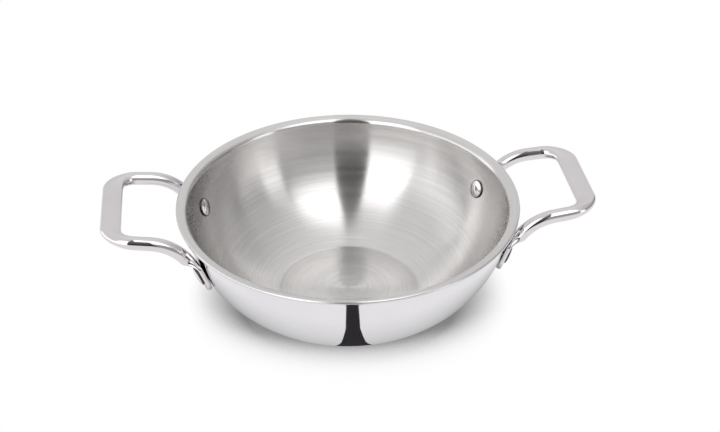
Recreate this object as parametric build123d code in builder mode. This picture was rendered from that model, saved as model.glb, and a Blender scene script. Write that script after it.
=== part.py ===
from build123d import *
import os
from math import acos, atan2, cos, degrees, radians, sin, tan

# Kadai: a round two-handled cooking bowl, pressed from a steel, aluminium and steel sheet.
# Frame: the origin is the centre of the flat base, +X points to the right handle, +Z is up.
# Lengths are millimetres and angles are degrees.

# Bowl: the outside of the wall, then the three layers that fill it from there inwards
rim_radius = 106.0
bowl_height = 71.0
floor_inset = 62.0
knuckle_radius = 16.0
wall_bulge = 37.5
lip_width = 6.7
lip_slope = 15.0
lip_bend_radius = 3.5
outer_layer_thickness = 0.5
core_layer_thickness = 1.4
inner_layer_thickness = 0.5

# Rivets: two for each handle, square to the wall
rivet_azimuth = 21.5
rivet_drop = 23.0
shank_radius = 3.0
head_radius = 6.0
head_edge_height = 1.1
head_height = 2.0
head_shoulder_radius = 0.8
hole_clearance = 0.1
seat_clearance = 0.1

# Handles: a round rod, pressed flat at the grip and forged into a tab at each end
rod_diameter = 8.3
tab_width = 18.0
tab_thickness = 3.0
tab_tail_length = 2.0
tab_flat_length = 7.0
root_length = 8.0
grip_overhang = 38.1
handle_rise = 3.6
handle_slope = 6.5
grip_half_span = 35.3
grip_corner_radius = 15.0
grip_width = 12.6
grip_thickness = 5.0

# Crown of an oval section: half the angle that its flat side turns through
tab_crown = 2.0
rod_crown = 45.0
grip_crown = 10.0

# Spans that a change from one section of the handle to another is drawn through
section_spans = 6

# Extra length that lets one cut run past another
overrun = 1.0


def along(angle):
    """Direction in the profile that a surface facing this far up from straight down looks to."""
    return Vector(sin(radians(angle)), -cos(radians(angle)))


# The wall is a line, three tangent arcs and a line. The knuckle and the lip's bend are given,
# and the long wall arc between them follows from their being tangent to it.
wall_thickness = outer_layer_thickness + core_layer_thickness + inner_layer_thickness
floor_radius = rim_radius - floor_inset
edge_radius = wall_thickness / 2
edge_centre = Vector(rim_radius - edge_radius, bowl_height - edge_radius)
under_bend_radius = lip_bend_radius - wall_thickness

lip_facing = along(lip_slope)
lip_run = Vector(cos(radians(lip_slope)), sin(radians(lip_slope)))
lip_end = edge_centre + lip_facing * edge_radius
bend_centre_radius = rim_radius - lip_width + lip_bend_radius
lip_start_radius = bend_centre_radius - under_bend_radius * lip_facing.X
lip_length = (lip_end.X - lip_start_radius) / lip_run.X
bend_centre = lip_end - lip_run * lip_length + lip_facing * under_bend_radius

# The wall is steeper at its top, by its bulge, than a straight wall from the floor would be
wall_lean = degrees(atan2(bend_centre.Y, bend_centre.X - floor_radius))
wall_top_angle = wall_lean + wall_bulge
wall_top_facing = along(wall_top_angle)
wall_top = bend_centre - wall_top_facing * under_bend_radius

knuckle_centre = Vector(floor_radius, knuckle_radius)
knuckle_to_top = wall_top - knuckle_centre
wall_radius = (knuckle_to_top.length**2 - knuckle_radius**2) / (
    2 * (knuckle_to_top.dot(wall_top_facing) - knuckle_radius)
)
wall_centre = wall_top - wall_top_facing * wall_radius
knuckle_turn = degrees(
    atan2(knuckle_centre.X - wall_centre.X, wall_centre.Y - knuckle_centre.Y)
)

# Each rivet crosses the wall at a right angle, this far below the rim
rivet_facing = degrees(acos((wall_centre.Y - bowl_height + rivet_drop) / wall_radius))
rivet_seat = wall_centre + along(rivet_facing) * wall_radius


def rivet_plane(azimuth):
    """Plane on the outside of the wall at a rivet, facing out along the rivet."""
    outwards = Vector(cos(radians(azimuth)), sin(radians(azimuth)), 0)
    facing = along(rivet_facing)
    return Plane(
        origin=outwards * rivet_seat.X + Vector(0, 0, rivet_seat.Y),
        x_dir=Vector(0, 0, 1).cross(outwards),
        z_dir=outwards * facing.X + Vector(0, 0, facing.Y),
    )


rivet_azimuths = [
    rivet_azimuth,
    180 - rivet_azimuth,
    180 + rivet_azimuth,
    -rivet_azimuth,
]
rivet_planes = [rivet_plane(azimuth) for azimuth in rivet_azimuths]


def wall_line(depth, lip_extra):
    """Draw the wall's line at this depth below its outside, and return its two ends."""
    floor_end = Vector(floor_radius, depth)
    lip_root = bend_centre - lip_facing * (under_bend_radius + depth)
    lip_tip = lip_root + lip_run * (lip_length + lip_extra)
    Line((0, depth), floor_end)
    CenterArc(knuckle_centre, knuckle_radius - depth, -90, knuckle_turn)
    CenterArc(
        wall_centre,
        wall_radius - depth,
        knuckle_turn - 90,
        wall_top_angle - knuckle_turn,
    )
    CenterArc(
        bend_centre,
        under_bend_radius + depth,
        90 + wall_top_angle,
        lip_slope - wall_top_angle,
    )
    Line(lip_root, lip_tip)
    return Vector(0, depth), lip_tip


def close_band(outer_ends, inner_ends):
    """Join the ends of two wall lines."""
    for outer_end, inner_end in zip(outer_ends, inner_ends):
        Line(outer_end, inner_end)


# Bowl layers: each is the part of the whole wall that lies between its two depths
core_depth = outer_layer_thickness
inner_depth = outer_layer_thickness + core_layer_thickness
bowl_layers = {
    "bowl_outer_layer": (0, core_depth),
    "bowl_core_layer": (core_depth, inner_depth),
    "bowl_inner_layer": (inner_depth, wall_thickness),
}

os.makedirs("parts", exist_ok=True)

for layer_name, (layer_top, layer_bottom) in bowl_layers.items():
    with BuildPart() as bowl_layer:
        with BuildSketch(Plane.XZ):
            with BuildLine():
                outside = wall_line(0, 0)
                inside = wall_line(wall_thickness, 0)
                Line(outside[0], inside[0])
                CenterArc(edge_centre, edge_radius, lip_slope - 90, 180)
            make_face()
            with BuildLine():
                close_band(
                    wall_line(layer_top, overrun), wall_line(layer_bottom, overrun)
                )
            make_face(mode=Mode.INTERSECT)
        revolve(axis=Axis.Z)
        with Locations(*rivet_planes):
            Cylinder(
                shank_radius + hole_clearance,
                2 * (wall_thickness + overrun),
                mode=Mode.SUBTRACT,
            )
    bowl_layer.part.label = layer_name
    export_step(bowl_layer.part, f"parts/{layer_name}.step")

# Right handle: half of it follows a bent centre line, and the other half mirrors it.
# The line runs up from the rivet beside the wall, bends out below the lip where the flat of the
# tab ends, and turns into the grip.
tab_plane = rivet_plane(rivet_azimuth)
tab_facing = tab_plane.z_dir
tab_run = tab_facing.cross(Vector(0, 1, 0)).normalized()
rod_radius = rod_diameter / 2
rod_start = tab_plane.origin + tab_facing * (seat_clearance + rod_radius)
handle_reach = rim_radius + grip_overhang
grip_height = bowl_height + handle_rise
slope = tan(radians(handle_slope))
corner_distance = (
    grip_height - rod_start.Z - (handle_reach - rod_start.X) * slope
) / (tab_run.Z - tab_run.X * slope)
root_corner = rod_start + tab_run * corner_distance
grip_corner = Vector(handle_reach, grip_half_span, grip_height)
grip_middle = Vector(handle_reach, 0, grip_height)
root_turn = tab_run.get_angle(grip_corner - root_corner)
root_bend_radius = (corner_distance - tab_flat_length) / tan(radians(root_turn) / 2)
loop_facing = Vector(-sin(radians(handle_slope)), 0, cos(radians(handle_slope)))

with BuildLine():
    handle_line = FilletPolyline(
        rod_start,
        root_corner,
        grip_corner,
        grip_middle,
        radius=[root_bend_radius, grip_corner_radius],
    )
tab_edge, root_bend, leg_edge, corner_bend, grip_edge = handle_line.edges()
corner_start = tab_edge.length + root_bend.length + leg_edge.length
corner_end = corner_start + corner_bend.length
root_end = tab_flat_length + root_length
rod_line = handle_line.trim(
    root_end / handle_line.length, corner_start / handle_line.length
)


def section_plane(distance, upwards, thickness):
    """Plane across the handle at this distance, with its x along the section's width.

    The back of a section that is thinner than the rod is level with the back of the rod.
    """
    point = handle_line.position_at(distance, PositionMode.LENGTH)
    heading = handle_line.tangent_at(distance, PositionMode.LENGTH)
    across = upwards.cross(heading).normalized()
    back = heading.cross(across) * (rod_radius - thickness / 2)
    return Plane(origin=point + back, x_dir=across, z_dir=heading)


def oval_face(width, thickness, crown):
    """Oval of tangent arcs: two flat ones that turn twice the crown, and two round ends.

    It is made outside any sketch, which would join the arcs of a round section into one.
    """
    rise_share = tan(radians(crown) / 2)
    end_radius = (thickness / 2 - rise_share * width / 2) / (1 - rise_share)
    end_centre = width / 2 - end_radius
    flat_radius = (end_centre + end_radius * sin(radians(crown))) / sin(radians(crown))
    flat_centre = flat_radius - thickness / 2
    end_turn = 90 - crown
    arcs = [
        CenterArc((end_centre, 0), end_radius, 0, end_turn),
        CenterArc((0, -flat_centre), flat_radius, end_turn, 2 * crown),
        CenterArc((-end_centre, 0), end_radius, 90 + crown, end_turn),
        CenterArc((-end_centre, 0), end_radius, 180, end_turn),
        CenterArc((0, flat_centre), flat_radius, 180 + end_turn, 2 * crown),
        CenterArc((end_centre, 0), end_radius, 270 + crown, end_turn),
    ]
    return make_face(arcs)


def smooth_shares(spans):
    """Shares of the way along a change of section, each with its smoothed share of the change."""
    steps = [span / spans for span in range(spans + 1)]
    return [(step, step * step * (3 - 2 * step)) for step in steps]


def changing_sections(start, end, upwards, start_oval, end_oval, level_back):
    """Oval faces along the handle, from one oval's width, thickness and crown to another's."""
    faces = []
    for step, change in smooth_shares(section_spans):
        width, thickness, crown = (
            first + (last - first) * change
            for first, last in zip(start_oval, end_oval)
        )
        level_thickness = thickness if level_back else rod_diameter
        plane = section_plane(
            start + (end - start) * step, upwards, level_thickness
        )
        faces.append(plane * oval_face(width, thickness, crown))
    return faces


tab_oval = (tab_width, tab_thickness, tab_crown)
rod_oval = (rod_diameter, rod_diameter, rod_crown)
grip_oval = (grip_width, grip_thickness, grip_crown)
root_sections = changing_sections(
    tab_flat_length, root_end, -tab_facing, tab_oval, rod_oval, True
)
corner_sections = changing_sections(
    corner_start, corner_end, loop_facing, rod_oval, grip_oval, False
)
tab_tail = section_plane(0, -tab_facing, tab_thickness).offset(-tab_tail_length)
tab_face = oval_face(*tab_oval)
grip_face = oval_face(*grip_oval)

with BuildPart() as right_handle:
    with BuildSketch(tab_tail):
        add(tab_face)
    extrude(amount=tab_tail_length + tab_flat_length)
    # The tab's round end is half of its section, turned half a circle about the tail's middle
    with BuildSketch(tab_tail):
        add(tab_face)
        with Locations((-tab_width / 2, 0)):
            Rectangle(tab_width, tab_width, mode=Mode.SUBTRACT)
    revolve(axis=Axis(tab_tail.origin, tab_tail.y_dir), revolution_arc=180)
    loft(root_sections)
    with BuildSketch(section_plane(root_end, -tab_facing, rod_diameter)):
        Circle(rod_radius)
    sweep(path=rod_line)
    loft(corner_sections)
    with BuildSketch(section_plane(corner_end, loop_facing, rod_diameter)):
        add(grip_face)
    extrude(amount=grip_edge.length)
    with Locations(tab_plane):
        Cylinder(
            shank_radius + hole_clearance,
            2 * (seat_clearance + tab_thickness + overrun),
            mode=Mode.SUBTRACT,
        )
    mirror(about=Plane.XZ)
right_handle.part.label = "right_handle"
export_step(right_handle.part, "parts/right_handle.step")

# Left handle: the same, on the other side of the bowl
with BuildPart() as left_handle:
    mirror(right_handle.part, about=Plane.YZ)
left_handle.part.label = "left_handle"
export_step(left_handle.part, "parts/left_handle.step")


# Rivets: each has a low round head on the tab and another on the inside of the wall
outer_seat = seat_clearance + tab_thickness + seat_clearance
inner_seat = -(wall_thickness + seat_clearance)


def head_outline(base, seat, side):
    """Draw half of a head that starts at its base and domes away from its seat, up or down."""
    shoulder = (head_radius, seat + side * head_edge_height)
    top = (0, seat + side * head_height)
    Polyline(top, (0, base), (head_radius, base), shoulder)
    TangentArc(top, shoulder, tangent=(1, 0))


with BuildPart() as inner_head:
    with BuildSketch(Plane.XZ) as inner_head_section:
        with BuildLine():
            head_outline(-wall_thickness / 2, inner_seat, -1)
        make_face()
        head_rim = inner_head_section.vertices().group_by(Axis.X)[-1]
        fillet(head_rim.sort_by(Axis.Y)[0], head_shoulder_radius)
    revolve(axis=Axis.Z)

with BuildPart() as shank:
    with BuildSketch(Plane.XZ) as outer_head_section:
        with BuildLine():
            head_outline(outer_seat, outer_seat, 1)
        make_face()
        head_rim = outer_head_section.vertices().group_by(Axis.X)[-1]
        fillet(head_rim.sort_by(Axis.Y)[-1], head_shoulder_radius)
    revolve(axis=Axis.Z)
    with Locations((0, 0, inner_seat - head_edge_height)):
        Cylinder(
            shank_radius,
            outer_seat - inner_seat + 2 * head_edge_height,
            align=(Align.CENTER, Align.CENTER, Align.MIN),
        )

# The curved wall, with the clearance that its inside keeps from the heads
with BuildPart() as wall_space:
    with BuildSketch(Plane.XZ):
        with BuildLine():
            close_band(wall_line(0, 0), wall_line(-inner_seat, 0))
        make_face()
    revolve(axis=Axis.Z)

with BuildPart() as handle_rivets:
    with Locations(*rivet_planes):
        add(inner_head.part)
    add(wall_space.part, mode=Mode.SUBTRACT)
    with Locations(*rivet_planes):
        add(shank.part)
handle_rivets.part.label = "handle_rivets"
export_step(handle_rivets.part, "parts/handle_rivets.step")
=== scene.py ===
import logging
from dataclasses import dataclass
from enum import Enum
from functools import partial
from math import atan2, copysign, cos, degrees, pi, radians, sin, sqrt, tan
from typing import Any, Callable, Optional, Sequence

import bmesh
import bpy
from mathutils import Matrix, Vector

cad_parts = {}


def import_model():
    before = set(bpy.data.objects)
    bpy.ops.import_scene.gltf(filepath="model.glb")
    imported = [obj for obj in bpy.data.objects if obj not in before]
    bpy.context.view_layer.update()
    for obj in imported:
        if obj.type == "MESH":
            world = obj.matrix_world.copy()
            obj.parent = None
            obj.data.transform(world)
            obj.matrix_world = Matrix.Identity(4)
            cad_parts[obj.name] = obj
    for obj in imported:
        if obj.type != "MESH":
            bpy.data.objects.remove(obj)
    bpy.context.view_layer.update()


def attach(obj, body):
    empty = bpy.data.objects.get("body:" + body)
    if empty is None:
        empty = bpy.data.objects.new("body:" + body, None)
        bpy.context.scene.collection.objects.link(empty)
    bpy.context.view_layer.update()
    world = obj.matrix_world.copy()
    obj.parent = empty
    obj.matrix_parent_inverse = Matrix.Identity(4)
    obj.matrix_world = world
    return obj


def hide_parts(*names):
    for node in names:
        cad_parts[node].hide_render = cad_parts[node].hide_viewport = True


# Kadai: a round two-handled cooking bowl of polished three-layer steel.
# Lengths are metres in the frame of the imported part: the origin is the centre of the flat base,
# +X points to the right handle and +Z is up. Angles are degrees.

MM = 0.001
HEAD_RADIUS = "head_radius"
WELD_DISTANCE = 0.002 * MM
# Angle between faces from which their edge shows
SHARP_ANGLE = 50.0
WHITE = "#FFFFFF"
UP = Vector((0.0, 0.0, 1.0))

# The kinds of node that come up again and again
MATH = "ShaderNodeMath"
VECTOR_MATH = "ShaderNodeVectorMath"
MAP_RANGE = "ShaderNodeMapRange"
COMBINE = "ShaderNodeCombineXYZ"
NOISE = "ShaderNodeTexNoise"
MIX = "ShaderNodeMix"

Tree = bpy.types.NodeTree
Node = bpy.types.Node
Material = bpy.types.Material
Object = bpy.types.Object
Adder = Callable[..., Node]

log = logging.getLogger("kadai")


class Slot(Enum):
    """The record's material slots."""

    MIRROR_STEEL = "mirror_steel"
    CORE_ALUMINIUM = "core_aluminium"
    SATIN_STEEL = "satin_steel"
    HANDLE_STEEL = "handle_steel"
    RIVET_STEEL = "rivet_steel"


class Side(Enum):
    """A side of the bowl, with the sign that its X has."""

    RIGHT = 1
    LEFT = -1


# Nodes and objects


def linear(colour: str) -> tuple[float, float, float, float]:
    """Turn an sRGB hex colour into a linear one.

    Args:
        colour: Six hex digits with a leading #.

    Returns:
        Linear red, green, blue and an alpha of 1.
    """
    shares = [int(colour[place:place + 2], 16) / 255 for place in (1, 3, 5)]
    channels = [
        share / 12.92 if share <= 0.04045 else ((share + 0.055) / 1.055) ** 2.4
        for share in shares
    ]
    return (*channels, 1.0)


def add_node(
    tree: Tree, kind: str, inputs: Optional[dict[Any, Any]] = None, **settings: Any
) -> Node:
    """Add a node with its settings, input values and links.

    Args:
        tree: The tree that gets the node.
        kind: The node's type name.
        inputs: For each input's name or number, a value, the output socket that feeds it, or
            the node whose first output in use feeds it.
        settings: Properties that are set on the node before its inputs.

    Returns:
        The new node.
    """
    node = tree.nodes.new(kind)
    for name, value in settings.items():
        setattr(node, name, value)
    for name, value in (inputs or {}).items():
        if isinstance(value, Node):
            value = next(output for output in value.outputs if output.enabled)
        if isinstance(value, bpy.types.NodeSocket):
            tree.links.new(value, node.inputs[name])
        else:
            node.inputs[name].default_value = value
    return node


def adder_to(owner: bpy.types.ID) -> Adder:
    """Empty the node tree of a material or a world.

    Args:
        owner: The material or the world.

    Returns:
        What adds a node to its tree.
    """
    owner.use_nodes = True
    owner.node_tree.nodes.clear()
    return partial(add_node, owner.node_tree)


def add_object(name: str, data: bpy.types.ID) -> Object:
    """Make an object and put it in the scene.

    Args:
        name: Its name.
        data: Its mesh or camera.

    Returns:
        The new object.
    """
    made = bpy.data.objects.new(name, data)
    bpy.context.scene.collection.objects.link(made)
    return made


# Materials


@dataclass(frozen=True)
class PolishedSteel:
    """Stainless steel, buffed on a wheel: a mirror with a trace of fine swirling scratches."""

    name: str
    colour: str
    shade_colour: str
    roughness: float
    haze: float = 0.03
    haze_range: tuple[float, float] = (0.35, 0.75)
    # Real scratches lie much closer together: these are coarse, so that the haze shows
    scratch_pitch: float = 1.4 * MM
    scratch_squeeze: float = 6.0
    scratch_swirl: float = 0.6
    ripple_pitch: float = 26.0 * MM
    ripple_height: float = 0.012 * MM
    ripple_strength: float = 0.35

    def material(self) -> Material:
        """Build the material.

        Returns:
            A metal with drifting tone, haze that follows the buffing and a slightly wavy surface.
        """
        made = bpy.data.materials.new(self.name)
        add = adder_to(made)
        place = add("ShaderNodeTexCoord").outputs["Object"]
        drift = add(NOISE, {"Vector": place, "Scale": 1 / self.ripple_pitch, "Detail": 2.0})
        squeeze = (1.0, 1.0, self.scratch_squeeze)
        squeezed = add("ShaderNodeMapping", {"Vector": place, "Scale": squeeze})
        scratches = add(NOISE, {
            "Vector": squeezed, "Scale": 1 / self.scratch_pitch, "Detail": 3.0,
            "Distortion": self.scratch_swirl,
        })
        haze = add(MAP_RANGE, {
            "Value": scratches, "From Min": self.haze_range[0], "From Max": self.haze_range[1],
            "To Min": self.roughness, "To Max": self.roughness + self.haze,
        })
        ripple = add("ShaderNodeBump", {
            "Height": drift, "Strength": self.ripple_strength, "Distance": self.ripple_height,
        })
        shader = add("ShaderNodeBsdfPrincipled", {
            "Base Color": self.tone(add, drift), "Metallic": 1.0, "Roughness": haze,
            "Normal": ripple,
        })
        add("ShaderNodeOutputMaterial", {"Surface": shader})
        return made

    def tone(self, add: Adder, drift: Node) -> Node:
        """Mix the metal's two tones, by the node that gives the share of the second one."""
        tones = {0: drift, 6: linear(self.colour), 7: linear(self.shade_colour)}
        return add(MIX, tones, data_type="RGBA")


@dataclass(frozen=True)
class RivetSteel(PolishedSteel):
    """Buffed steel with painted shade that darkens it at the foot of a head."""

    # Colour of the painted shade at the foot of a head
    painted_shade_colour: str = "#4A4648"
    unshaded_radius: float = 4.9 * MM
    full_shade_radius: float = 5.9 * MM

    def tone(self, add: Adder, drift: Node) -> Node:
        """Paint shade on the metal, darker towards the foot of the head.

        Args:
            add: Adds a node to the material.
            drift: Node that gives the share of the second tone.

        Returns:
            The node that gives the colour.
        """
        # Painted shade: the colour turns dark over the ring between the two radii, at the foot of
        # the head
        radius = add("ShaderNodeAttribute", attribute_name=HEAD_RADIUS)
        foot = add(MAP_RANGE, {
            "Value": radius.outputs["Fac"], "From Min": self.unshaded_radius,
            "From Max": self.full_shade_radius,
        }, interpolation_type="SMOOTHSTEP")
        tones = {0: foot, 6: super().tone(add, drift), 7: linear(self.painted_shade_colour)}
        return add(MIX, tones, data_type="RGBA")


@dataclass(frozen=True)
class TurnedSatinSteel:
    """Stainless steel, brushed in circles: highlights are drawn out across the lines."""

    name: str
    colour: str
    shade_colour: str
    roughness: float
    anisotropy: float
    haze: float = 0.03
    haze_range: tuple[float, float] = (0.3, 0.7)
    # Real lines lie much closer together: these are coarse, so that they show
    line_pitch: float = 0.9 * MM
    line_height: float = 0.015 * MM
    band_pitch: float = 7.0 * MM
    # In whole turns from the tangent, so a quarter draws highlights out across the lines
    highlight_turn: float = 0.25

    def material(self) -> Material:
        """Build the material.

        Returns:
            A metal with fine rings round the bowl's axis, and highlights drawn out across them.
        """
        made = bpy.data.materials.new(self.name)
        add = adder_to(made)
        place = add("ShaderNodeTexCoord").outputs["Object"]
        part = add("ShaderNodeSeparateXYZ", {"Vector": place}).outputs
        level = add(COMBINE, {"X": part["X"], "Y": part["Y"]})
        radius = add(VECTOR_MATH, {0: level}, operation="LENGTH")
        turn = add(MATH, {0: part["Y"], 1: part["X"]}, operation="ARCTAN2")
        # A ring is known by its radius and height, and each line runs part of the way round
        way = add(MATH, {0: turn, 1: self.line_pitch}, operation="MULTIPLY")
        ring = add(COMBINE, {"X": radius, "Y": part["Z"], "Z": way})
        lines = add(NOISE, {
            "Vector": ring, "Scale": 1 / self.line_pitch, "Detail": 2.0, "Roughness": 0.7,
        })
        bands = add(NOISE, {"Vector": ring, "Scale": 1 / self.band_pitch, "Detail": 2.0})
        tones = {0: lines, 6: linear(self.colour), 7: linear(self.shade_colour)}
        tone = add(MIX, tones, data_type="RGBA")
        haze = add(MAP_RANGE, {
            "Value": bands, "From Min": self.haze_range[0], "From Max": self.haze_range[1],
            "To Min": self.roughness - self.haze, "To Max": self.roughness + self.haze,
        })
        grooves = add("ShaderNodeBump", {
            "Height": lines, "Strength": 1.0, "Distance": self.line_height,
        })
        # The lines run round the axis, at a right angle to the axis and to the radius
        across = add(VECTOR_MATH, {0: tuple(UP), 1: place}, operation="CROSS_PRODUCT")
        tangent = add(VECTOR_MATH, {0: across}, operation="NORMALIZE")
        shader = add("ShaderNodeBsdfPrincipled", {
            "Base Color": tone, "Metallic": 1.0, "Roughness": haze,
            "Anisotropic": self.anisotropy, "Anisotropic Rotation": self.highlight_turn,
            "Normal": grooves, "Tangent": tangent,
        })
        add("ShaderNodeOutputMaterial", {"Surface": shader})
        return made


# Bowl


def facing(angle: float) -> Vector:
    """Give the direction in the profile that a surface facing this far up from down looks to."""
    return Vector((sin(radians(angle)), -cos(radians(angle))))


def arc(centre: Vector, radius: float, start: float, end: float, steps: int) -> list[Vector]:
    """Give points along an arc from one facing angle to another, both ends included."""
    angles = [start + (end - start) * step / steps for step in range(steps + 1)]
    return [centre + facing(angle) * radius for angle in angles]


@dataclass(frozen=True)
class BowlProfile:
    """The bowl's wall, as half of its cross-section: a line, three tangent arcs and a line."""

    rim_radius: float = 106.0 * MM
    height: float = 71.0 * MM
    floor_inset: float = 62.0 * MM
    knuckle_radius: float = 16.0 * MM
    bulge: float = 37.5
    lip_width: float = 6.7 * MM
    lip_slope: float = 15.0
    lip_bend_radius: float = 3.5 * MM
    outer_layer: float = 0.5 * MM
    core_layer: float = 1.4 * MM
    inner_layer: float = 0.5 * MM
    floor_steps: int = 12
    knuckle_steps: int = 12
    wall_steps: int = 72
    bend_steps: int = 16
    lip_steps: int = 4
    edge_steps: int = 12

    @property
    def thickness(self) -> float:
        """Thickness of the three layers together."""
        return self.outer_layer + self.core_layer + self.inner_layer

    @property
    def floor_radius(self) -> float:
        """Radius of the flat base."""
        return self.rim_radius - self.floor_inset

    @property
    def edge_centre(self) -> Vector:
        """Centre of the round edge of the lip."""
        half = self.thickness / 2
        return Vector((self.rim_radius - half, self.height - half))

    @property
    def under_bend(self) -> float:
        """Radius of the bend below the lip, on its outside."""
        return self.lip_bend_radius - self.thickness

    @property
    def lip_run(self) -> Vector:
        """Direction that the lip runs outwards in."""
        return Vector((cos(radians(self.lip_slope)), sin(radians(self.lip_slope))))

    @property
    def lip_length(self) -> float:
        """Length of the straight part of the lip."""
        lip_end = self.edge_centre + facing(self.lip_slope) * self.thickness / 2
        bend_radius = self.rim_radius - self.lip_width + self.lip_bend_radius
        start = bend_radius - self.under_bend * facing(self.lip_slope).x
        return (lip_end.x - start) / self.lip_run.x

    @property
    def bend_centre(self) -> Vector:
        """Centre of the bend between the wall and the lip."""
        lip_facing = facing(self.lip_slope)
        lip_end = self.edge_centre + lip_facing * self.thickness / 2
        return lip_end - self.lip_run * self.lip_length + lip_facing * self.under_bend

    @property
    def top_angle(self) -> float:
        """Angle that the top of the wall faces."""
        rise = self.bend_centre.y
        run = self.bend_centre.x - self.floor_radius
        return degrees(atan2(rise, run)) + self.bulge

    @property
    def knuckle_centre(self) -> Vector:
        """Centre of the knuckle between the floor and the wall."""
        return Vector((self.floor_radius, self.knuckle_radius))

    @property
    def wall_top(self) -> Vector:
        """Point where the wall's arc meets the bend of the lip, on the outside."""
        return self.bend_centre - facing(self.top_angle) * self.under_bend

    @property
    def wall_radius(self) -> float:
        """Radius of the wall's arc, on the outside."""
        reach = self.wall_top - self.knuckle_centre
        spare = reach.dot(facing(self.top_angle)) - self.knuckle_radius
        return (reach.length_squared - self.knuckle_radius**2) / (2 * spare)

    @property
    def wall_centre(self) -> Vector:
        """Centre of the wall's arc."""
        return self.wall_top - facing(self.top_angle) * self.wall_radius

    @property
    def knuckle_turn(self) -> float:
        """Angle that the knuckle turns through."""
        offset = self.knuckle_centre - self.wall_centre
        return degrees(atan2(offset.x, -offset.y))

    def line(self, depth: float) -> list[Vector]:
        """Give the wall's line at a depth below its outside.

        Args:
            depth: Distance below the outside of the wall.

        Returns:
            Points from the axis to the end of the straight part of the lip.
        """
        turn, top, slope = self.knuckle_turn, self.top_angle, self.lip_slope
        bend_radius = -(self.under_bend + depth)
        count = self.floor_steps
        floor = [Vector((self.floor_radius * step / count, depth)) for step in range(count)]
        arcs = (
            (self.knuckle_centre, self.knuckle_radius - depth, 0, turn, self.knuckle_steps),
            (self.wall_centre, self.wall_radius - depth, turn, top, self.wall_steps),
            (self.bend_centre, bend_radius, top, slope, self.bend_steps),
        )
        knuckle, wall, bend = (arc(*sizes) for sizes in arcs)
        lip_root = self.bend_centre + facing(slope) * bend_radius
        lip = [
            lip_root + self.lip_run * self.lip_length * step / self.lip_steps
            for step in range(1, self.lip_steps + 1)
        ]
        return floor + knuckle + wall[1:] + bend[1:] + lip

    def edge(self, top_depth: float, bottom_depth: float) -> list[Vector]:
        """Give the part of the lip's round edge that lies between two depths.

        Args:
            top_depth: Depth where the part starts, nearer the outside of the wall.
            bottom_depth: Depth where it ends.

        Returns:
            Points along the edge, both ends included.
        """
        half = self.thickness / 2
        heights = (half - top_depth, half - bottom_depth)
        start, end = (atan2(sqrt(max(half**2 - up**2, 0)), up) for up in heights)
        points = []
        for step in range(self.edge_steps + 1):
            turn = start + (end - start) * step / self.edge_steps
            drop = facing(self.lip_slope) * half * cos(turn)
            points.append(self.edge_centre + drop + self.lip_run * half * sin(turn))
        return points


@dataclass
class BowlLayer:
    """One of the three bonded layers that the bowl is pressed from."""

    name: str
    node: str
    slot: Slot
    material: Material
    top_depth: float
    bottom_depth: float
    profile: BowlProfile = BowlProfile()
    segments: int = 360

    def outline(self) -> list[Vector]:
        """Give the layer's whole outline.

        Returns:
            Points from the axis along the outside, round the edge and back along the inside.
        """
        outside = self.profile.line(self.top_depth)
        inside = self.profile.line(self.bottom_depth)
        edge = self.profile.edge(self.top_depth, self.bottom_depth)
        return outside + edge + inside[::-1]

    def build(self) -> Object:
        """Build the layer and dress it.

        Returns:
            The finished layer.
        """
        tree = lathe_tree(self.material)
        piece = turned_piece(self.name, self.outline(), tree, {"Segments": self.segments})
        return finish_piece(piece, self.material, [self.node])


def geometry_tree(name: str, inputs: dict[str, str], output: str) -> Tree:
    """Start a tree that makes geometry from an outline.

    Args:
        name: The tree's name.
        inputs: For each input after the outline, its kind of value.
        output: Name of its output.

    Returns:
        The tree, with no nodes yet.
    """
    tree = bpy.data.node_groups.new(name, "GeometryNodeTree")
    for socket, kind in {"Outline": "Geometry", **inputs}.items():
        tree.interface.new_socket(socket, in_out="INPUT", socket_type="NodeSocket" + kind)
    tree.interface.new_socket(output, in_out="OUTPUT", socket_type="NodeSocketGeometry")
    return tree


def lathe_tree(material: Material) -> Tree:
    """Build the tree that turns an outline in the XZ plane about Z into a closed skin.

    Args:
        material: The finish that the skin gets.

    Returns:
        A tree with an input for the number of segments.
    """
    tree = geometry_tree("Lathe", {"Segments": "Int"}, "Skin")
    add = partial(add_node, tree)
    given = add("NodeGroupInput").outputs
    outline, segments = given["Outline"], given["Segments"]
    size = add("GeometryNodeAttributeDomainSize", {"Geometry": outline}, component="MESH")
    rows = size.outputs["Point Count"]
    columns = add(MATH, {0: segments, 1: 1.0}, operation="ADD")
    grid = add("GeometryNodeMeshGrid", {"Vertices X": columns, "Vertices Y": rows})
    # A grid's points run along Y first, so the row is the rest of the index over the rows
    index = add("GeometryNodeInputIndex")
    row = add(MATH, {0: index, 1: rows}, operation="MODULO")
    before = add(MATH, {0: index, 1: row}, operation="SUBTRACT")
    column = add(MATH, {0: before, 1: rows}, operation="DIVIDE")
    share = add(MATH, {0: column, 1: segments}, operation="DIVIDE")
    turn = add(MATH, {0: share, 1: 2 * pi}, operation="MULTIPLY")
    outline_point = add("GeometryNodeSampleIndex", {
        "Geometry": outline, "Index": row, "Value": add("GeometryNodeInputPosition"),
    }, data_type="FLOAT_VECTOR", domain="POINT")
    turned = add("ShaderNodeVectorRotate", {
        "Vector": outline_point, "Angle": turn,
    }, rotation_type="Z_AXIS")
    placed = add("GeometryNodeSetPosition", {"Geometry": grid, "Position": turned})
    closed = add("GeometryNodeMergeByDistance", {"Geometry": placed, "Distance": WELD_DISTANCE})
    end_tree(add, closed, material, "Skin")
    return tree


def end_tree(add: Adder, made: Node, material: Material, output: str) -> None:
    """End a tree in Realize Instances and Set Material.

    Args:
        add: Adds a node to the tree.
        made: The node that gives what it made.
        material: The finish that it gets.
        output: Name of the tree's output.
    """
    real = add("GeometryNodeRealizeInstances", {"Geometry": made})
    dressed = add("GeometryNodeSetMaterial", {"Geometry": real, "Material": material})
    add("NodeGroupOutput", {output: dressed})


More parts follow.
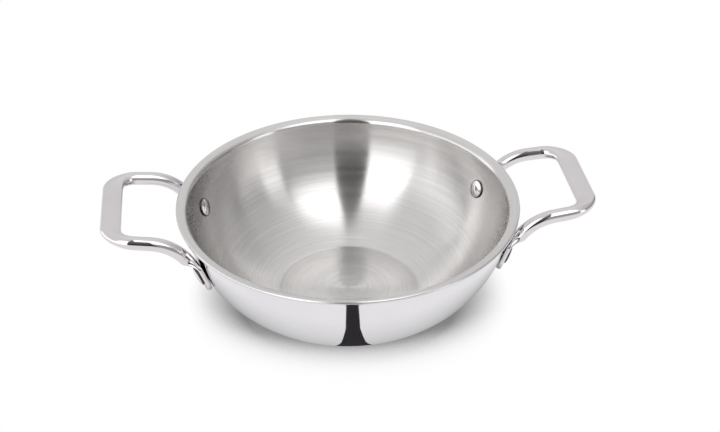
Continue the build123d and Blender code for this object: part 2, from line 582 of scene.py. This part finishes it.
def turned_piece(
    name: str, outline: Sequence[Vector], tree: Tree, values: dict[str, float]
) -> Object:
    """Run a tree on an outline and keep what it makes as a plain mesh.

    Args:
        name: Name of the new piece.
        outline: Points as radius and height.
        tree: The tree.
        values: For each named input, its value.

    Returns:
        A new object at the origin, with a plain mesh.
    """
    curve = bpy.data.meshes.new(name + "_outline")
    points = [(point.x, 0.0, point.y) for point in outline]
    spans = [(place, place + 1) for place in range(len(points) - 1)]
    curve.from_pydata(points, spans, [])
    source = add_object(name + "_outline", curve)
    modifier = source.modifiers.new("Nodes", "NODES")
    modifier.node_group = tree
    items = tree.interface.items_tree
    sockets = {item.name: item.identifier for item in items if item.in_out == "INPUT"}
    for socket_name, value in values.items():
        modifier[sockets[socket_name]] = value
    graph = bpy.context.evaluated_depsgraph_get()
    mesh = bpy.data.meshes.new_from_object(source.evaluated_get(graph))
    mesh.name = name
    source.modifiers.remove(modifier)
    bpy.data.objects.remove(source)
    return add_object(name, mesh)


def finish_piece(piece: Object, material: Material, nodes: Sequence[str]) -> Object:
    """Close a piece's skin, turn its faces outwards, smooth it and set it in place of CAD nodes.

    Args:
        piece: The piece.
        material: Its finish.
        nodes: CAD nodes that it stands for.

    Returns:
        The same piece.
    """
    mesh = piece.data
    work = bmesh.new()
    work.from_mesh(mesh)
    bmesh.ops.remove_doubles(work, verts=work.verts, dist=WELD_DISTANCE)
    bmesh.ops.dissolve_degenerate(work, edges=work.edges, dist=WELD_DISTANCE)
    bmesh.ops.recalc_face_normals(work, faces=work.faces)
    if work.calc_volume(signed=True) < 0:
        bmesh.ops.reverse_faces(work, faces=work.faces)
    work.to_mesh(mesh)
    work.free()
    mesh.shade_smooth()
    mesh.set_sharp_from_angle(angle=radians(SHARP_ANGLE))
    mesh.materials.clear()
    mesh.materials.append(material)
    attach(piece, "root")
    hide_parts(*nodes)
    return piece


# Rivets, and the section of the handle's tab that each one holds


@dataclass(frozen=True)
class Oval:
    """A section of the handle: two nearly flat arcs and two round ends, all tangent."""

    width: float
    thickness: float
    crown: float
    flat_steps: int = 10
    end_steps: int = 9

    def towards(self, other: "Oval", share: float) -> "Oval":
        """Give an oval between this one and another.

        Args:
            other: The other oval.
            share: Share of the way to it.

        Returns:
            The oval at that share of the way.
        """
        return Oval(
            self.width + (other.width - self.width) * share,
            self.thickness + (other.thickness - self.thickness) * share,
            self.crown + (other.crown - self.crown) * share,
        )

    def points(self) -> list[Vector]:
        """Give points round the oval.

        Returns:
            Points in the section's own width and thickness directions.
        """
        rise_share = tan(radians(self.crown) / 2)
        end_radius = (self.thickness / 2 - rise_share * self.width / 2) / (1 - rise_share)
        end_x = self.width / 2 - end_radius
        sine = sin(radians(self.crown))
        flat_radius = (end_x + end_radius * sine) / sine
        flat_y = self.thickness / 2 - flat_radius
        end_turn = 90 - self.crown
        arcs = (
            (end_x, 0.0, end_radius, 0, end_turn, self.end_steps),
            (0.0, flat_y, flat_radius, end_turn, 2 * self.crown, self.flat_steps),
            (-end_x, 0.0, end_radius, 90 + self.crown, end_turn, self.end_steps),
        )
        half = []
        for x, y, radius, start, turn, steps in arcs:
            for step in range(steps):
                angle = radians(start + turn * step / steps)
                half.append(Vector((x + radius * cos(angle), y + radius * sin(angle))))
        return half + [-point for point in half]


@dataclass(frozen=True)
class RivetSeat:
    """Where a rivet goes through the wall, and how a handle's tab lies on the wall there."""

    profile: BowlProfile = BowlProfile()
    azimuth: float = 21.5
    drop: float = 23.0 * MM
    clearance: float = 0.1 * MM
    tab: Oval = Oval(18.0 * MM, 3.0 * MM, 2.0)

    def frame(self, azimuth: float) -> Matrix:
        """Give the frame of a rivet: its Z is square to the wall, and faces out.

        Args:
            azimuth: The rivet's angle round the bowl.

        Returns:
            A matrix whose origin is on the outside of the wall.
        """
        wall_centre, wall_radius = self.profile.wall_centre, self.profile.wall_radius
        depth = wall_centre.y - self.profile.height + self.drop
        wall_facing = facing(degrees(atan2(sqrt(wall_radius**2 - depth**2), depth)))
        place = wall_centre + wall_facing * wall_radius
        cosine, sine = cos(radians(azimuth)), sin(radians(azimuth))
        outwards = Vector((cosine, sine, 0))
        z_axis = outwards * wall_facing.x + Vector((0, 0, wall_facing.y))
        x_axis = UP.cross(outwards)
        frame = Matrix((x_axis, z_axis.cross(x_axis), z_axis)).transposed().to_4x4()
        frame.translation = Vector((place.x * cosine, place.x * sine, place.y))
        return frame


@dataclass
class Rivets:
    """The four rivets: each has a low domed head on the tab and one inside the bowl."""

    name: str
    node: str
    material: Material
    seat: RivetSeat = RivetSeat()
    shank_radius: float = 3.0 * MM
    head_radius: float = 6.0 * MM
    head_edge: float = 1.1 * MM
    head_height: float = 2.0 * MM
    shoulder: float = 0.8 * MM
    shoulder_steps: int = 8
    dome_steps: int = 16
    segments: int = 64

    def head(self, seat: float, side: int) -> list[Vector]:
        """Give half of a head's outline, from the rim over the shoulder to the top.

        Args:
            seat: Height of its flat underside.
            side: 1 where the head domes up, -1 where it domes down.

        Returns:
            Points as radius and height.
        """
        dome_rise = self.head_height - self.head_edge
        inner = self.head_radius - self.shoulder
        points = [Vector((self.head_radius, 0.0))]
        for step in range(self.shoulder_steps + 1):
            angle = radians(90 * step / self.shoulder_steps)
            drop = self.shoulder * (1 - sin(angle))
            points.append(Vector((inner + self.shoulder * cos(angle), self.head_edge - drop)))
        for step in range(1, self.dome_steps + 1):
            radius = inner * (1 - step / self.dome_steps)
            rise = dome_rise * (1 - (radius / inner) ** 2)
            points.append(Vector((radius, self.head_edge + rise)))
        return [Vector((point.x, seat + side * point.y)) for point in points]

    def outline(self) -> list[Vector]:
        """Give the whole rivet's outline.

        Returns:
            Points as radius and height, from the top of the inner head to that of the outer.
        """
        inner_seat = -(self.seat.profile.thickness + self.seat.clearance)
        outer_seat = self.seat.tab.thickness + 2 * self.seat.clearance
        shank = [Vector((self.shank_radius, height)) for height in (inner_seat, outer_seat)]
        return self.head(inner_seat, -1)[::-1] + shank + self.head(outer_seat, 1)

    def build(self) -> Object:
        """Build the four rivets and dress them.

        Returns:
            The finished rivets, as one mesh of four closed skins.
        """
        frame = self.seat.frame(0.0)
        values = {
            "Segments": self.segments, "Azimuth": radians(self.seat.azimuth),
            "Tilt": -atan2(frame.col[2].z, frame.col[2].x),
            "Seat radius": frame.translation.x, "Seat height": frame.translation.z,
        }
        piece = turned_piece(self.name, self.outline(), rivet_tree(self.material), values)
        return finish_piece(piece, self.material, [self.node])


def rivet_tree(material: Material) -> Tree:
    """Build the tree that turns a rivet from its outline and sets four of them round the wall.

    Args:
        material: The finish that they get.

    Returns:
        A tree with inputs for the rivets' places.
    """
    places = dict.fromkeys(("Azimuth", "Tilt", "Seat radius", "Seat height"), "Float")
    tree = geometry_tree("Rivets", {"Segments": "Int", **places}, "Rivets")
    add = partial(add_node, tree)
    given = add("NodeGroupInput").outputs
    lathe = add("GeometryNodeGroup", {
        "Outline": given["Outline"], "Segments": given["Segments"],
    }, node_tree=lathe_tree(material))
    # Each point keeps its distance from the rivet's axis, which the finish reads to paint shade at
    # the head's foot
    position = add("GeometryNodeInputPosition")
    level = add(VECTOR_MATH, {0: position, 1: (1.0, 1.0, 0.0)}, operation="MULTIPLY")
    radius = add(VECTOR_MATH, {0: level}, operation="LENGTH")
    marked = add("GeometryNodeStoreNamedAttribute", {
        "Geometry": lathe, "Name": HEAD_RADIUS, "Value": radius,
    }, data_type="FLOAT", domain="POINT")
    # The rivet is made along Z, so it leans by a quarter turn and the wall's tilt to face out
    lean = add(MATH, {0: given["Tilt"], 1: pi / 2}, operation="ADD")
    leaned = add("GeometryNodeTransform", {
        "Geometry": marked,
        "Translation": add(COMBINE, {"X": given["Seat radius"], "Z": given["Seat height"]}),
        "Rotation": add(COMBINE, {"Y": lean}),
    })
    points = add("GeometryNodePoints", {"Count": 4, "Position": (0.0, 0.0, 0.0)})
    # Points 0 and 1 are at plus and minus the azimuth, and 2 and 3 half a turn further
    index = add("GeometryNodeInputIndex")
    odd = add(MATH, {0: index, 1: 2.0}, operation="MODULO")
    far = add(MATH, {0: index, 1: 1.5}, operation="GREATER_THAN")
    sign = add(MATH, {0: odd, 1: 2.0, 2: -1.0}, operation="MULTIPLY_ADD")
    swing = add(MATH, {0: sign, 1: given["Azimuth"]}, operation="MULTIPLY")
    turn = add(MATH, {0: far, 1: pi, 2: swing}, operation="MULTIPLY_ADD")
    placed = add("GeometryNodeInstanceOnPoints", {
        "Points": points, "Instance": leaned, "Rotation": add(COMBINE, {"Z": turn}),
    })
    end_tree(add, placed, material, "Rivets")
    return tree


# Handles


@dataclass(frozen=True)
class Bend:
    """A straight run of the handle's centre line and the bend that follows it."""

    start: Vector
    heading: Vector
    length: float
    axis: Vector
    radius: float
    turn: float


@dataclass
class Handle:
    """A round rod, pressed flat at the grip and forged into a riveted tab at each end."""

    name: str
    node: str
    side: Side
    material: Material
    seat: RivetSeat = RivetSeat()
    rod: Oval = Oval(8.3 * MM, 8.3 * MM, 44.0)
    grip: Oval = Oval(12.6 * MM, 5.0 * MM, 10.0)
    tab_tail_length: float = 2.0 * MM
    tab_flat_length: float = 7.0 * MM
    tail_steps: int = 16
    thinnest: float = 0.02 * MM
    root_length: float = 8.0 * MM
    grip_overhang: float = 38.1 * MM
    rise: float = 3.6 * MM
    slope: float = 6.5
    grip_half_span: float = 35.3 * MM
    grip_corner_radius: float = 15.0 * MM
    station_pitch: float = 0.55 * MM

    def bends(self) -> tuple[Bend, Bend]:
        """Work out the two bends of half of the centre line.

        Returns:
            The bend past the rivet and the one into the grip, each with the run before it.
        """
        frame = self.seat.frame(self.seat.azimuth)
        out = frame.col[2].to_3d()
        run = out.cross(Vector((0, 1, 0))).normalized()
        start = frame.translation + out * (self.seat.clearance + self.rod.thickness / 2)
        grip_x = self.seat.profile.rim_radius + self.grip_overhang
        grip_z = self.seat.profile.height + self.rise
        slope = tan(radians(self.slope))
        distance = (grip_z - start.z - (grip_x - start.x) * slope) / (run.z - run.x * slope)
        root_corner = start + run * distance
        grip_corner = Vector((grip_x, self.grip_half_span, grip_z))
        leg = (grip_corner - root_corner).normalized()
        bar = Vector((0, -1, 0))
        root_turn, grip_turn = run.angle(leg), leg.angle(bar)
        root_cut = distance - self.tab_flat_length
        grip_cut = self.grip_corner_radius * tan(grip_turn / 2)
        leg_length = (grip_corner - root_corner).length - root_cut - grip_cut
        root_axis, grip_axis = run.cross(leg).normalized(), leg.cross(bar).normalized()
        root_radius = root_cut / tan(root_turn / 2)
        leg_start = root_corner + leg * root_cut
        grip_radius = self.grip_corner_radius
        return (
            Bend(start, run, self.tab_flat_length, root_axis, root_radius, root_turn),
            Bend(leg_start, leg, leg_length, grip_axis, grip_radius, grip_turn),
        )

    def place_at(self, distance: float) -> tuple[Vector, Vector]:
        """Give the point and heading at a distance along the centre line from the rivet.

        Args:
            distance: The distance, below 0 on the tail of the tab.

        Returns:
            The point, and the direction that the line runs in there.
        """
        left = distance
        for bend in self.bends():
            if left <= bend.length:
                return bend.start + bend.heading * left, bend.heading
            left -= bend.length
            corner = bend.start + bend.heading * bend.length
            centre = corner + bend.axis.cross(bend.heading) * bend.radius
            spun = Matrix.Rotation(min(left / bend.radius, bend.turn), 3, bend.axis)
            end, heading = centre + spun @ (corner - centre), spun @ bend.heading
            if left <= bend.radius * bend.turn:
                return end, heading
            left -= bend.radius * bend.turn
        return end + heading * left, heading

    def marks(self) -> tuple[float, float, float]:
        """Give the distances that divide half of the centre line.

        Returns:
            Where the grip's bend starts and ends, and the middle of the line.
        """
        root, grip = self.bends()
        start = root.length + root.radius * root.turn + grip.length
        end = start + grip.radius * grip.turn
        return start, end, end + self.place_at(end)[0].y

    def section(self, distance: float) -> tuple[Oval, Vector, float]:
        """Give the section at a distance along the line.

        Args:
            distance: The distance from the rivet.

        Returns:
            The oval, the direction that its flat side faces, and how far it is set back.
        """
        corner_start, corner_end, _ = self.marks()
        tab_up = -self.seat.frame(self.seat.azimuth).col[2].to_3d()
        if distance < self.tab_flat_length + self.root_length:
            share = smooth((distance - self.tab_flat_length) / self.root_length)
            oval = self.seat.tab.towards(self.rod, share)
            set_back = self.rod.thickness / 2 - oval.thickness / 2
            return self.rounded_tail(oval, distance), tab_up, set_back
        if distance < corner_start:
            return self.rod, tab_up, 0.0
        share = smooth((distance - corner_start) / (corner_end - corner_start))
        slope = radians(self.slope)
        loop_up = Vector((-sin(slope), 0, cos(slope)))
        return self.rod.towards(self.grip, share), loop_up, 0.0

    def rounded_tail(self, oval: Oval, distance: float) -> Oval:
        """Narrow the tab's section where its end is round.

        Args:
            oval: The section without its round end.
            distance: Where it is along the line, below 0 on the tail.

        Returns:
            The section, narrower the nearer it is to the end.
        """
        past = -distance - self.tab_tail_length
        if past <= 0:
            return oval
        tab = self.seat.tab
        width = tab.width * sqrt(max(1 - (past / (tab.width / 2)) ** 2, 0.0))
        # The last slices also get thinner, so that the end closes round
        thickness = min(tab.thickness, max(width, self.thinnest))
        return Oval(max(width, thickness), thickness, min(oval.crown, tab.crown))

    def stations(self) -> list[float]:
        """Give the distances along the line at which a section is drawn.

        Returns:
            The distances, from the tab's end to the middle of the grip.
        """
        half = self.seat.tab.width / 2
        turns = [radians(90 * step / self.tail_steps) for step in range(self.tail_steps + 1)]
        tail = [-self.tab_tail_length - half * cos(turn) for turn in turns]
        length = self.marks()[2] + self.tab_tail_length
        spans = round(length / self.station_pitch)
        rest = [-self.tab_tail_length + length * step / spans for step in range(1, spans + 1)]
        return tail + rest

    def build(self) -> Object:
        """Build the handle and dress it.

        Returns:
            The finished handle.
        """
        half = []
        for distance in self.stations():
            point, heading = self.place_at(distance)
            oval, up, set_back = self.section(distance)
            across = up.cross(heading).normalized()
            lift = heading.cross(across)
            centre = point + lift * set_back
            spin = Matrix.Rotation(self.seam_turn(distance), 2)
            spun = [spin @ place for place in oval.points()]
            half.append([centre + across * place.x + lift * place.y for place in spun])
        sign = self.side.value
        near = [[Vector((x * sign, y, z)) for x, y, z in ring] for ring in half]
        far = [[Vector((x * sign, -y, z)) for x, y, z in ring] for ring in half[-2::-1]]
        piece = add_object(self.name, skin_of_rings(self.name, near + far))
        return finish_piece(piece, self.material, [self.node])

    def seam_turn(self, distance: float) -> float:
        """Give the turn that keeps the section's points in line along the round rod.

        Args:
            distance: The distance from the rivet.

        Returns:
            The turn in radians.
        """
        corner_start, _, _ = self.marks()
        root_end = self.tab_flat_length + self.root_length
        if not root_end <= distance < corner_start:
            return 0.0
        _, heading = self.place_at(corner_start)
        first, last = (
            self.section(place + self.station_pitch)[1].cross(heading).normalized()
            for place in (root_end, corner_start)
        )
        between = copysign(first.angle(last), first.cross(last).dot(heading))
        return between * smooth((distance - root_end) / (corner_start - root_end))


def smooth(share: float) -> float:
    """Ease a share of the way in and out, and hold it between 0 and 1."""
    held = min(max(share, 0.0), 1.0)
    return held * held * (3 - 2 * held)


def skin_of_rings(name: str, rings: Sequence[Sequence[Vector]]) -> bpy.types.Mesh:
    """Join rings of points into a closed skin.

    Args:
        name: Name of the mesh.
        rings: Rings of as many points each, in order.

    Returns:
        The mesh, with its first and last ring capped.
    """
    count = len(rings[0])
    points = [tuple(place) for ring in rings for place in ring]
    faces = []
    for row in range(0, len(points) - count, count):
        for column in range(count):
            after = (column + 1) % count
            near, far = (row + column, row + after), (row + count + after, row + count + column)
            faces.append(near + far)
    faces.append(tuple(range(count))[::-1])
    faces.append(tuple(range(len(points) - count, len(points))))
    mesh = bpy.data.meshes.new(name)
    mesh.from_pydata(points, [], faces)
    return mesh


# Studio


@dataclass(frozen=True)
class Panel:
    """A lamp panel, or a flag where it is dark, as a soft-edged window of directions.

    Azimuths run from behind the camera towards its right, elevations from the horizon up, and
    the level changes evenly from the panel's foot to its top.
    """

    azimuth: float
    width: float
    low: float
    high: float
    low_level: float
    high_level: float
    side_softness: float = 4.0
    end_softness: float = 14.0

    def painted(self, add: Adder, azimuth: Node, elevation: Node, behind: Any) -> Node:
        """Paint the panel over what is behind it.

        Args:
            add: Adds a node to the world.
            azimuth: Node that gives the direction's azimuth in radians.
            elevation: Node that gives its elevation in radians.
            behind: The level behind the panel, or the node that gives it.

        Returns:
            The node that gives the level with the panel.
        """
        turned = add(MATH, {0: azimuth, 1: radians(self.azimuth)}, operation="SUBTRACT")
        wrapped = add(MATH, {0: turned, 1: pi, 2: -pi}, operation="WRAP")
        middle = radians(self.low + self.high) / 2
        risen = add(MATH, {0: elevation, 1: middle}, operation="SUBTRACT")
        windows = []
        for offset, span, softness in (
            (wrapped, self.width, self.side_softness),
            (risen, self.high - self.low, self.end_softness),
        ):
            windows.append(add(MAP_RANGE, {
                "Value": add(MATH, {0: offset}, operation="ABSOLUTE"),
                "From Min": radians(span + softness) / 2, "From Max": radians(span - softness) / 2,
            }, interpolation_type="SMOOTHSTEP"))
        across, along = windows
        mask = add(MATH, {0: across, 1: along}, operation="MULTIPLY")
        graded = add(MAP_RANGE, {
            "Value": elevation, "From Min": radians(max(self.low, 0.0)),
            "From Max": radians(self.high), "To Min": self.low_level, "To Max": self.high_level,
        })
        return add(MIX, {0: mask, 2: behind, 3: graded}, data_type="FLOAT")


# Azimuth, width, low and high edge, level at the foot and the top, softness of sides and ends
STUDIO_PANELS = (
    Panel(-82.0, 74.0, -20.0, 45.0, 1.9, 0.7, 8.0, 20.0),
    Panel(-40.0, 46.0, 50.0, 80.0, 1.2, 0.7, 8.0, 20.0),
    Panel(-33.0, 36.0, -20.0, 60.0, 2.2, 1.9),
    Panel(34.0, 44.0, -20.0, 38.0, 0.4, 0.4, 4.0, 6.0),
    Panel(34.0, 44.0, 38.0, 84.0, 2.0, 2.2, 4.0, 6.0),
    Panel(62.0, 16.0, -20.0, 24.0, 1.9, 1.8, 6.0),
    Panel(62.0, 20.0, 50.0, 80.0, 1.4, 2.2, 8.0, 20.0),
    Panel(108.0, 72.0, -20.0, 70.0, 0.25, 0.9, 14.0),
    Panel(180.0, 60.0, -20.0, 80.0, 0.75, 1.0, 20.0),
    Panel(-2.0, 26.0, -20.0, 90.0, 0.0, 0.3, 3.0),
)


# Distance, half the width and shift sideways of each cross line of the card, in mm
CARD_ROWS = (
    (48.0, 15.0, 3.2), (58.0, 11.8, 3.0), (75.0, 8.4, 3.2),
    (105.0, 6.3, 3.6), (178.0, 9.0, 5.5), (300.0, 14.0, 8.0),
)


@dataclass
class Studio:
    """White floor, soft surroundings, a black card on the floor, and the camera."""

    camera_place: tuple[float, float, float] = (-76.0 * MM, -682.3 * MM, 516.0 * MM)
    camera_heading: tuple[float, float, float] = (0.1010, 0.8257, -0.5552)
    lens_mm: float = 66.16
    sensor_mm: float = 36.0
    nearest: float = 10.0 * MM
    farthest: float = 50.0
    floor_radius: float = 4.0
    floor_segments: int = 96
    card_rows: tuple[tuple[float, float, float], ...] = CARD_ROWS
    card_colour: str = "#333133"
    card_lift: float = 0.2 * MM
    surround_level: float = 0.85
    shadow_reach: float = 55.0 * MM
    shadow_samples: int = 16
    shadow_radii: tuple[float, float] = (72.0 * MM, 104.0 * MM)
    front_share: float = 1.3
    darkest_share: float = 0.51
    deepest: float = 0.88
    lightest_share: float = 0.90
    shadow_power: float = 2.0
    mirror_power: float = 1.3
    panels: tuple[Panel, ...] = STUDIO_PANELS

    @property
    def heading(self) -> Vector:
        """Level direction that the camera looks in."""
        return Vector((*self.camera_heading[:2], 0.0)).normalized()

    def build(self) -> None:
        """Build the floor, the card, the surroundings and the camera."""
        self.add_camera()
        floor = self.add_floor()
        card = self.add_card()
        self.add_surroundings()

    def add_camera(self) -> None:
        """Set the camera where the photograph was taken from."""
        data = bpy.data.cameras.new("camera")
        data.sensor_width, data.lens = self.sensor_mm, self.lens_mm
        data.clip_start, data.clip_end = self.nearest, self.farthest
        camera = add_object("camera", data)
        camera.location = self.camera_place
        heading = Vector(self.camera_heading)
        camera.rotation_euler = heading.to_track_quat("-Z", "Y").to_euler()
        bpy.context.scene.camera = camera

    def add_floor(self) -> Object:
        """Lay a white floor with the object's shadow painted on it.

        Returns:
            The floor.
        """
        work = bmesh.new()
        steps, radius = self.floor_segments, self.floor_radius
        bmesh.ops.create_circle(work, cap_ends=True, segments=steps, radius=radius)
        mesh = bpy.data.meshes.new("floor")
        work.to_mesh(mesh)
        work.free()
        mesh.materials.append(self.floor_material())
        return add_object("floor", mesh)

    def add_card(self) -> Object:
        """Lay a narrow black card before the bowl, which only its mirror-polished wall shows.

        Returns:
            The card.
        """
        ahead = Vector((*self.camera_place[:2], 0.0)).normalized()
        across = UP.cross(ahead)
        points = []
        for distance, half, shift in self.card_rows:
            middle = ahead * (distance * MM) + across * (shift * MM) + UP * self.card_lift
            points += [middle - across * (half * MM), middle + across * (half * MM)]
        faces = [(row, row + 1, row + 3, row + 2) for row in range(0, len(points) - 2, 2)]
        mesh = bpy.data.meshes.new("card")
        mesh.from_pydata(points, [], faces)
        # Matt black card: one even dark tone, with no light of its own on the floor
        made = bpy.data.materials.new("black card")
        add = adder_to(made)
        black = add("ShaderNodeEmission", {"Color": linear(self.card_colour)})
        add("ShaderNodeOutputMaterial", {"Surface": black})
        mesh.materials.append(made)
        card = add_object("card", mesh)
        card.visible_camera = card.visible_diffuse = card.visible_shadow = False
        return card

    def floor_material(self) -> Material:
        """Build the floor's white, with a painted shadow that is darker the more the object hems
        it in.

        Returns:
            An emitting material with painted shadow, as if lit from in front and above at a
            photographer's table: the share of that light that the object keeps off sets its depth.
        """
        # Overlit paper: pure white to the eye, with only the object's soft shadow painted on it
        made = bpy.data.materials.new("white paper sweep")
        add = adder_to(made)
        place = add("ShaderNodeTexCoord").outputs["Object"]
        outwards = add(VECTOR_MATH, {0: place}, operation="NORMALIZE")
        # The painted shadow acts as if a key light stood in front, reaching under the bowl there
        # and not at the sides
        front = tuple(-self.heading)
        towards = add(VECTOR_MATH, {0: outwards, 1: front}, operation="DOT_PRODUCT")
        before = add(MATH, {0: towards, 1: 0.0}, operation="MAXIMUM")
        lean = add(VECTOR_MATH, {
            0: tuple(-self.heading * self.front_share), 1: before, 2: tuple(UP),
        }, operation="MULTIPLY_ADD")
        way = add(VECTOR_MATH, {0: lean}, operation="NORMALIZE")
        reached = add("ShaderNodeAmbientOcclusion", {
            "Distance": self.shadow_reach, "Normal": way,
        }, samples=self.shadow_samples).outputs["AO"]
        # Painted shadow: the emitted white is dimmed where the object keeps the share low
        missing = add(MAP_RANGE, {
            "Value": reached, "From Min": self.darkest_share, "From Max": self.lightest_share,
            "To Min": self.deepest, "To Max": 0.0,
        })
        depth = add(MATH, {0: missing, 1: self.shadow_power}, operation="POWER")
        # Past the base, the painted shadow fades out, as if more and more light came in from the
        # sides
        distance = add(VECTOR_MATH, {0: place}, operation="LENGTH")
        kept = add(MAP_RANGE, {
            "Value": distance, "From Min": self.shadow_radii[0], "From Max": self.shadow_radii[1],
            "To Min": -1.0, "To Max": 0.0,
        })
        seen = add(MATH, {0: depth, 1: kept, 2: 1.0}, operation="MULTIPLY_ADD")
        # A mirror shows the share itself as painted shadow, which falls off evenly towards the
        # bowl's foot
        mirrored = add(MATH, {0: reached, 1: self.mirror_power}, operation="POWER")
        glossy = add("ShaderNodeLightPath").outputs["Is Glossy Ray"]
        shown = add(MIX, {0: glossy, 2: seen, 3: mirrored}, data_type="FLOAT")
        paper = add("ShaderNodeEmission", {"Color": linear(WHITE), "Strength": shown})
        add("ShaderNodeOutputMaterial", {"Surface": paper})
        return made

    def add_surroundings(self) -> None:
        """Surround the object with lamp panels and black flags, between pale walls."""
        world = bpy.data.worlds.new("studio")
        bpy.context.scene.world = world
        add = adder_to(world)
        way = add("ShaderNodeTexCoord").outputs["Generated"]
        right, back, rise = (
            add(VECTOR_MATH, {0: way, 1: tuple(axis)}, operation="DOT_PRODUCT")
            for axis in (self.heading.cross(UP), -self.heading, UP)
        )
        azimuth = add(MATH, {0: right, 1: back}, operation="ARCTAN2")
        elevation = add(MATH, {0: rise}, operation="ARCSINE")
        level: Any = self.surround_level
        for panel in self.panels:
            level = panel.painted(add, azimuth, elevation, level)
        # Only reflections see the panels and the flags: all else is lit by plain white
        glossy = add("ShaderNodeLightPath").outputs["Is Glossy Ray"]
        shown = add(MIX, {0: glossy, 2: 1.0, 3: level}, data_type="FLOAT")
        sky = add("ShaderNodeBackground", {"Color": linear(WHITE), "Strength": shown})
        add("ShaderNodeOutputWorld", {"Surface": sky})


def main() -> None:
    """Build the kadai and its studio, and report each piece."""
    logging.basicConfig(level=logging.INFO, format="%(name)s: %(message)s")
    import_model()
    profile = BowlProfile()
    # Wheel-buffed sheet: the table and the lamps show in it, with slightly wavy outlines
    mirror = PolishedSteel("mirror-buffed stainless steel", "#E6E4E6", "#DEDCE0", 0.04)
    # Brushed on a lathe: each lamp becomes a light fan from the floor up, with fine rings on it
    satin = TurnedSatinSteel("circular-brushed stainless steel", "#E2E0DF", "#CAC8C7", 0.20, 1.0)
    # Sheared edge of soft sheet: an even pale grey that shows nothing clearly
    core = PolishedSteel("sheared aluminium", "#D9D9DB", "#CFCFD2", 0.25)
    # Buffed by hand: long bright and dark lines along the rod, with soft edges
    handle_steel = PolishedSteel("buffed steel rod", "#DEDADC", "#D4D0D2", 0.06)
    # Buffed head: a small bright dome, with a thin dark outline of painted shade at its foot
    rivet_steel = RivetSteel("buffed steel rivet", "#E6E4E4", "#DCDADC", 0.08)
    layers = (
        ("bowl_outside", "bowl_outer_layer", Slot.MIRROR_STEEL, mirror, profile.outer_layer),
        ("bowl_core", "bowl_core_layer", Slot.CORE_ALUMINIUM, core, profile.core_layer),
        ("bowl_inside", "bowl_inner_layer", Slot.SATIN_STEEL, satin, profile.inner_layer),
    )
    builders: list[Any] = []
    depth = 0.0
    for *names, finish, thickness in layers:
        builders.append(BowlLayer(*names, finish.material(), depth, depth + thickness, profile))
        depth += thickness
    builders += [
        Handle("right_loop", "right_handle", Side.RIGHT, handle_steel.material()),
        Handle("left_loop", "left_handle", Side.LEFT, handle_steel.material()),
        Rivets("rivet_heads", "handle_rivets", rivet_steel.material()),
    ]
    for builder in builders:
        piece = builder.build()
        log.info("%s: %d faces", piece.name, len(piece.data.polygons))
    Studio().build()
    bpy.context.scene.view_settings.view_transform = "Standard"


if __name__ == "__main__":
    main()
